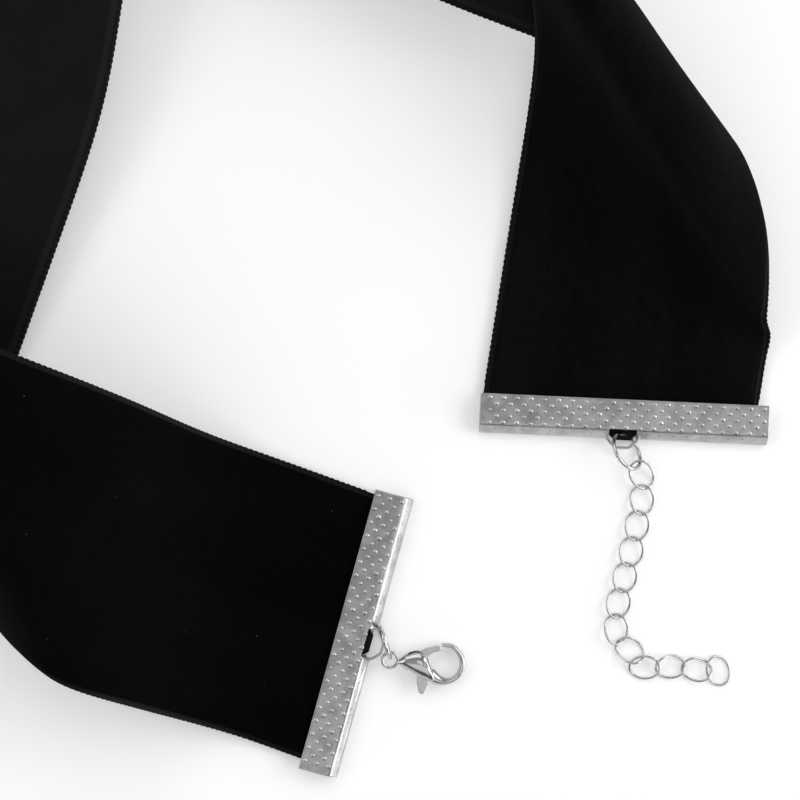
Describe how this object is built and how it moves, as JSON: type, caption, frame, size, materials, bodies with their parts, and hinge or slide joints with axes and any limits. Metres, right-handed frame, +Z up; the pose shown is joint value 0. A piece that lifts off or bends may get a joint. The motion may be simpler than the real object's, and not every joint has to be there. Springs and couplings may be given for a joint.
{
  "type": "choker necklace",
  "caption": "Wide black velvet ribbon choker lying open, with metal ribbon clamps, a lobster clasp on a jump ring and an extender chain.",
  "frame": {"origin": "middle of the bounding box, on the table", "axes": "+Z up from the table, +Y from the open ends toward the back of the neck, +X toward the chain end"},
  "size_m": [0.131, 0.1498, 0.0403],
  "materials": {
    "velvet": "black velvet pile outside, plain satin inside, woven selvedges",
    "clamp_metal": "satin nickel plate with rows of small raised dots",
    "bright_metal": "polished silver-coloured plate"
  },
  "bodies": {
    "choker": {"ribbon": "velvet", "clamp_left": "clamp_metal", "clamp_right": "clamp_metal", "jump_ring_chain": "bright_metal", "jump_ring_clasp": "bright_metal", "clasp_body": "bright_metal", "chain_link_01": "bright_metal", "chain_link_02": "bright_metal", "chain_link_03": "bright_metal", "chain_link_04": "bright_metal", "chain_link_05": "bright_metal", "chain_link_06": "bright_metal", "chain_link_07": "bright_metal", "chain_link_08": "bright_metal", "chain_link_09": "bright_metal", "chain_link_10": "bright_metal", "chain_link_11": "bright_metal", "chain_link_12": "bright_metal"},
    "lever": {"clasp_lever": "bright_metal"}
  },
  "joints": [
    {"name": "clasp_lever_hinge", "type": "hinge", "parent": "choker", "child": "lever", "pos_m": [0.01745, -0.05899, 0.00165], "axis": [-0.1392, 0, -0.9903], "range_deg": [0, 28], "stiffness_Nm_per_rad": 0.002, "springref_deg": -11.46}
  ]
}
